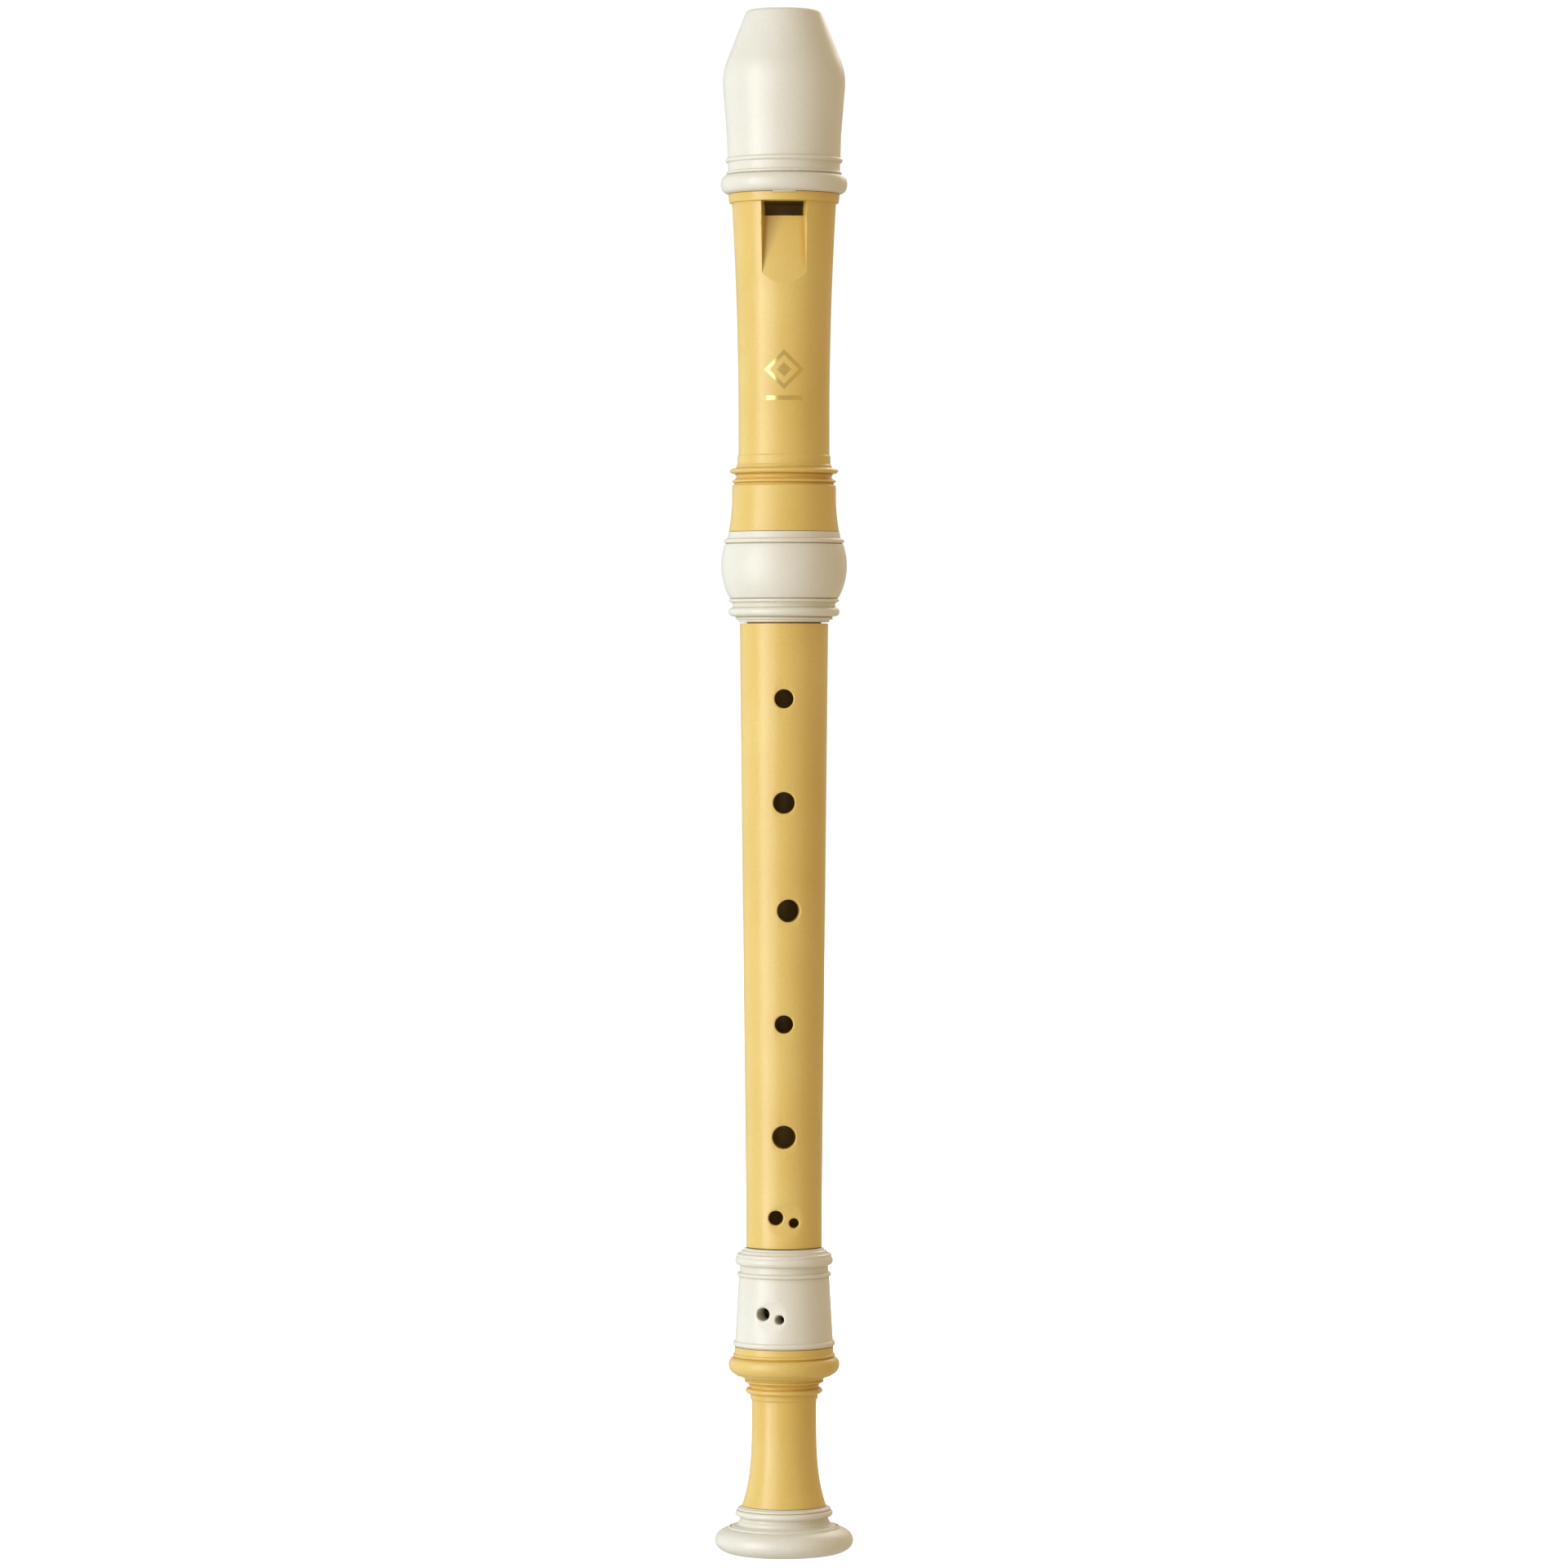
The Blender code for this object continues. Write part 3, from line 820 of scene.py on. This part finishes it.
def make_head_tube(outline):
    tube = turned("head_tube", outline, HEAD_LEVEL)
    tools = (windway_tool(), mouth_tool(), notch_tool("notch_tool", FINE_SEAM))
    carve(tube, [("DIFFERENCE", tool) for tool in tools])
    for tool in tools:
        bpy.data.objects.remove(tool)

    def on_mouth_rim(point):
        height = point.z - HEAD_LEVEL
        if point.y > -7.6 or not RAMP_END < height < COLLAR_STEP - 1.0:
            return False
        return abs(math.hypot(point.x, point.y) - line_radius(outline, height)) < 0.02

    eased(tube, MOUTH_EASE, on_mouth_rim)
    return tube


def on_ramp_crease(point):
    """Whether a point of the head lies low on the labium's ramp, or where it runs out."""
    height = point.z - HEAD_LEVEL
    return point.y < -8 and RAMP_END < height < RAMP_CREASE_TOP


def make_foil_mark(outline):
    """The mark, cut out of a thin skin that lies on the head's surface."""
    frame_bar = mark_tool("mark_frame", lozenge(MARK_HALF))
    opening = mark_tool("mark_opening", lozenge(MARK_HALF - MARK_STROKE * math.sqrt(2)))
    carve(frame_bar, [("DIFFERENCE", opening)])
    bpy.data.objects.remove(opening)
    width, rise = BAR_HALF
    low, high = BAR_HEIGHT - rise, BAR_HEIGHT + rise
    bar = ((-width, low), (width, low), (width, high), (-width, high))
    heart = lozenge(MARK_HEART)
    tool = joined("mark", [frame_bar, mark_tool("heart", heart), mark_tool("bar", bar)])
    heights = [low - 1 + i * (MARK_HEIGHT + MARK_HALF - low + 2) / 24 for i in range(25)]
    front = [(line_radius(outline, height) + FOIL_PROUD, height) for height in heights]
    back = [(radius - 2 * FOIL_PROUD, height) for radius, height in reversed(front)]
    skin = turned("foil_mark", front + back, HEAD_LEVEL)
    carve(skin, [("INTERSECT", tool)])
    bpy.data.objects.remove(tool)
    return skin


def make_middle_tube():
    outline = softened(middle_outline())
    reshape = scoop(MIDDLE_SCOOP, 8.12)
    tube = turned("middle_tube", outline, MIDDLE_LEVEL, reshape)
    drilled(tube, MIDDLE_HOLES, outline, MIDDLE_LEVEL, reshape)
    return tube


def make_foot_cup():
    outline = softened(foot_cup_outline())
    reshape = scoop(FOOT_SCOOP, 10.15)
    cup = turned("foot_cup", outline, FOOT_LEVEL, reshape)
    drilled(cup, FOOT_HOLES, outline, FOOT_LEVEL, reshape)
    return cup


# ---------------------------------------------------------------- materials


class Nodes:
    """Short forms for the nodes of one material."""

    def __init__(self, name):
        self.material = bpy.data.materials.new(name)
        self.material.use_nodes = True
        self.tree = self.material.node_tree
        self.shader = self.tree.nodes["Principled BSDF"]

    def add(self, kind, **settings):
        node = self.tree.nodes.new(kind)
        for key, value in settings.items():
            setattr(node, key, value)
        return node

    def link(self, output, socket):
        self.tree.links.new(output, socket)

    def place(self):
        return self.add("ShaderNodeTexCoord").outputs["Object"]

    def noise(self, size_mm, detail=3.0, roughness=0.5, stretch=(1, 1, 1)):
        """Noise whose blobs are about a size across, in millimetres."""
        mapping = self.add("ShaderNodeMapping")
        self.link(self.place(), mapping.inputs["Vector"])
        mapping.inputs["Scale"].default_value = [s * 1000 / size_mm for s in stretch]
        noise = self.add("ShaderNodeTexNoise")
        self.link(mapping.outputs["Vector"], noise.inputs["Vector"])
        noise.inputs["Scale"].default_value = 1.0
        noise.inputs["Detail"].default_value = detail
        noise.inputs["Roughness"].default_value = roughness
        return noise.outputs["Fac"]

    def ranged(self, value, low, high, to_low, to_high):
        """A value carried from one range to another, and held at that range's ends."""
        node = self.add("ShaderNodeMapRange")
        self.link(value, node.inputs["Value"])
        node.inputs["From Min"].default_value = low
        node.inputs["From Max"].default_value = high
        node.inputs["To Min"].default_value = to_low
        node.inputs["To Max"].default_value = to_high
        return node.outputs["Result"]

    def mixed(self, factor, first, second):
        """Two colours mixed. Each is a colour or another node's output."""
        node = self.add("ShaderNodeMix", data_type="RGBA")
        self.link(factor, node.inputs["Factor"])
        for socket, colour in ((node.inputs[6], first), (node.inputs[7], second)):
            if isinstance(colour, tuple):
                socket.default_value = colour
            else:
                self.link(colour, socket)
        return node.outputs[2]

    def bump(self, layers):
        """Bump from (height output, depth in millimetres) layers, the finest last."""
        normal = None
        for height, depth in layers:
            node = self.add("ShaderNodeBump")
            node.inputs["Strength"].default_value = 1.0
            node.inputs["Distance"].default_value = depth * MM
            self.link(height, node.inputs["Height"])
            if normal:
                self.link(normal, node.inputs["Normal"])
            normal = node.outputs["Normal"]
        self.link(normal, self.shader.inputs["Normal"])


def moulded_colour(nodes, colour, pale, deep):
    """Cloudy colour with fine flecks, painted shade in the grooves, and rims paler from edge wear
    and a painted highlight.
    """
    cloud = nodes.ranged(nodes.noise(22, detail=2.0), 0.3, 0.7, 0.0, 1.0)
    fleck = nodes.ranged(nodes.noise(0.6, detail=2.0), 0.35, 0.75, 0.0, 0.16)
    # Painted shade: ambient occlusion pulls the colour toward the deep tone in grooves and corners,
    # where shade falls.
    hollow = nodes.add("ShaderNodeAmbientOcclusion", samples=8)
    hollow.inputs["Distance"].default_value = GROOVE_SHADE_REACH * MM
    painted_groove_shade = nodes.ranged(hollow.outputs["AO"], 0.35, 0.95, 0.85, 0.0)
    # Painted highlight, partly edge wear: pointiness makes sharp rims paler, as where rounded edges
    # catch the light.
    edge = nodes.add("ShaderNodeNewGeometry").outputs["Pointiness"]
    rim_wear_and_highlight = nodes.ranged(edge, 0.52, 0.6, 0.0, 0.35)
    body = nodes.mixed(cloud, colour, pale)
    body = nodes.mixed(fleck, body, deep)
    body = nodes.mixed(painted_groove_shade, body, deep)
    return nodes.mixed(rim_wear_and_highlight, body, pale)


def moulded_roughness(nodes, grain):
    """Satin that changes with handling, and a little with the grain."""
    handling = nodes.noise(9, detail=4.0, stretch=(1, 1, 0.4))
    sheen = nodes.ranged(handling, 0.3, 0.7, SATIN - 0.05, SATIN + 0.06)
    wear = nodes.add("ShaderNodeMath", operation="MULTIPLY_ADD")
    nodes.link(grain, wear.inputs[0])
    wear.inputs[1].default_value = 0.08
    nodes.link(sheen, wear.inputs[2])
    return wear.outputs[0]


def plastic(name, colour, pale, deep, glow):
    """Satin moulded plastic, whose light spreads a little under the surface by a glow colour."""
    nodes = Nodes(name)
    nodes.link(moulded_colour(nodes, colour, pale, deep), nodes.shader.inputs["Base Color"])
    grain = nodes.noise(0.35, detail=4.0, roughness=0.6)
    nodes.link(moulded_roughness(nodes, grain), nodes.shader.inputs["Roughness"])
    nodes.bump([(nodes.noise(3.5, detail=2.0), 0.02), (grain, 0.0035)])
    nodes.shader.inputs["Subsurface Weight"].default_value = 0.12
    nodes.shader.inputs["Subsurface Radius"].default_value = glow
    nodes.shader.inputs["Subsurface Scale"].default_value = 1.2 * MM
    nodes.shader.inputs["IOR"].default_value = 1.55
    return nodes.material


def honey_plastic():
    return plastic(
        "honey_plastic",
        colour=(0.67, 0.47, 0.118, 1.0),
        pale=(0.72, 0.53, 0.16, 1.0),
        deep=(0.58, 0.32, 0.04, 1.0),
        glow=(1.0, 0.6, 0.2),
    )


def ivory_plastic():
    return plastic(
        "ivory_plastic",
        colour=(0.693, 0.667, 0.569, 1.0),
        pale=(0.733, 0.717, 0.629, 1.0),
        deep=(0.565, 0.495, 0.337, 1.0),
        glow=(1.0, 0.8, 0.5),
    )


def foil():
    """Hot-stamped gold foil, with fine streaks from the stamping."""
    nodes = Nodes("gold_foil")
    streak = nodes.noise(0.4, detail=3.0, stretch=(1, 1, 4))
    tone = nodes.mixed(streak, (0.92, 0.72, 0.28, 1.0), (0.68, 0.48, 0.12, 1.0))
    nodes.link(tone, nodes.shader.inputs["Base Color"])
    nodes.link(nodes.ranged(streak, 0.3, 0.7, 0.14, 0.28), nodes.shader.inputs["Roughness"])
    nodes.shader.inputs["Metallic"].default_value = 1.0
    nodes.bump([(streak, 0.004)])
    return nodes.material


# ---------------------------------------------------------------- stage, light and camera


def make_floor():
    """A white floor that glows a little near the recorder and fully where it meets the world."""
    nodes = Nodes("pale_floor")
    tone = nodes.ranged(nodes.noise(300), 0.3, 0.7, 0.0, 1.0)
    colour = nodes.mixed(tone, (0.9, 0.9, 0.9, 1.0), (0.88, 0.88, 0.88, 1.0))
    nodes.link(colour, nodes.shader.inputs["Base Color"])
    nodes.shader.inputs["Roughness"].default_value = 0.9
    nodes.shader.inputs["Emission Color"].default_value = (1.0, 1.0, 1.0, 1.0)
    distance = nodes.add("ShaderNodeVectorMath", operation="LENGTH")
    nodes.link(nodes.place(), distance.inputs[0])
    glow = nodes.ranged(distance.outputs["Value"], 0.1, 0.9, 0.5, 0.95)
    nodes.link(glow, nodes.shader.inputs["Emission Strength"])
    shape = bmesh.new()
    bmesh.ops.create_circle(shape, cap_ends=True, segments=96, radius=4.0)
    mesh = bpy.data.meshes.new("floor")
    shape.to_mesh(mesh)
    shape.free()
    floor = bpy.data.objects.new("floor", mesh)
    floor.location.z = cad_bounds[0][2] - FLOOR_DROP * MM
    floor.visible_diffuse = False
    floor.visible_glossy = False
    floor.visible_shadow = False
    mesh.materials.append(nodes.material)
    bpy.context.collection.objects.link(floor)


def make_surroundings():
    """White to the eye. The light it casts is neutral from the left and warm from the right."""
    world = bpy.data.worlds.new("studio")
    bpy.context.scene.world = world
    world.use_nodes = True
    tree = world.node_tree
    tree.nodes.clear()
    seen = tree.nodes.new("ShaderNodeBackground")
    seen.inputs["Color"].default_value = (1.0, 1.0, 1.0, 1.0)
    seen.inputs["Strength"].default_value = 1.05
    direction = tree.nodes.new("ShaderNodeTexCoord")
    parts = tree.nodes.new("ShaderNodeSeparateXYZ")
    tree.links.new(direction.outputs["Generated"], parts.inputs["Vector"])
    ramp = tree.nodes.new("ShaderNodeValToRGB")
    ramp.color_ramp.elements[0].color = (*CAST_LEFT, 1.0)
    ramp.color_ramp.elements[1].color = (*CAST_RIGHT, 1.0)
    sideways = tree.nodes.new("ShaderNodeMapRange")
    sideways.inputs["From Min"].default_value = -0.6
    sideways.inputs["From Max"].default_value = 0.6
    tree.links.new(parts.outputs["X"], sideways.inputs["Value"])
    tree.links.new(sideways.outputs["Result"], ramp.inputs["Fac"])
    cast = tree.nodes.new("ShaderNodeBackground")
    tree.links.new(ramp.outputs["Color"], cast.inputs["Color"])
    path = tree.nodes.new("ShaderNodeLightPath")
    mix = tree.nodes.new("ShaderNodeMixShader")
    output = tree.nodes.new("ShaderNodeOutputWorld")
    tree.links.new(path.outputs["Is Camera Ray"], mix.inputs["Fac"])
    tree.links.new(cast.outputs[0], mix.inputs[1])
    tree.links.new(seen.outputs[0], mix.inputs[2])
    tree.links.new(mix.outputs[0], output.inputs["Surface"])


def aimed(thing, location, target):
    thing.location = location
    direction = Vector(target) - Vector(location)
    thing.rotation_euler = direction.to_track_quat("-Z", "Y").to_euler()
    bpy.context.collection.objects.link(thing)


def softbox(name, turn, distance, height, size, power, colour):
    """A rectangular light that faces the recorder from a turn round it."""
    lamp = bpy.data.lights.new(name, "AREA")
    lamp.shape = "RECTANGLE"
    lamp.size, lamp.size_y = size
    lamp.energy = power
    lamp.color = colour
    outward = heading(turn)[0] * distance
    aimed(bpy.data.objects.new(name, lamp), (outward.x, outward.y, height), (0, 0, CAMERA_AIM))


def make_camera():
    data = bpy.data.cameras.new("camera")
    data.sensor_width = 36.0
    data.lens = CAMERA_LENS
    data.clip_start = 0.05
    camera = bpy.data.objects.new("camera", data)
    aimed(camera, (0, -CAMERA_DISTANCE, CAMERA_HEIGHT), (0, 0, CAMERA_AIM))
    bpy.context.scene.camera = camera


# ---------------------------------------------------------------- assembly


def dressed(piece, material):
    """Gives a piece its one material and its shading."""
    piece.data.materials.clear()
    piece.data.materials.append(material)
    smooth(piece)


def finished(piece, body, node, material):
    """Dresses a piece, and puts it in the place of one node of the frame."""
    dressed(piece, material)
    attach(piece, body)
    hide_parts(node)


def make_recorder():
    honey = honey_plastic()
    ivory = ivory_plastic()
    beak, block = make_beak_and_block()
    finished(beak, "head", "beak_cap", ivory)
    finished(block, "head", "windway_block", ivory)
    head_line = softened(head_outline())
    tube = make_head_tube(head_line)
    finished(tube, "head", "head_body", honey)
    creased(tube, RAMP_CREASE_TURN, on_ramp_crease)
    mark = make_foil_mark(head_line)
    dressed(mark, foil())
    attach(mark, "head")
    ring = turned("ball_ring", softened(ring_outline()), HEAD_LEVEL)
    finished(ring, "head_ring", "head_socket_ring", ivory)
    finished(make_middle_tube(), "middle", "middle_body", honey)
    finished(make_foot_cup(), "foot", "foot_socket", ivory)
    tube = turned("foot_tube", softened(foot_tube_outline()), FOOT_LEVEL)
    finished(tube, "foot", "foot_body", honey)
    bell = turned("bell_rim", softened(bell_outline()), FOOT_LEVEL)
    finished(bell, "foot_bell", "foot_bell_ring", ivory)


def main():
    make_recorder()
    make_floor()
    make_surroundings()
    for box in SOFTBOXES:
        softbox(*box)
    make_camera()
    bpy.context.scene.view_settings.view_transform = "Standard"


main()
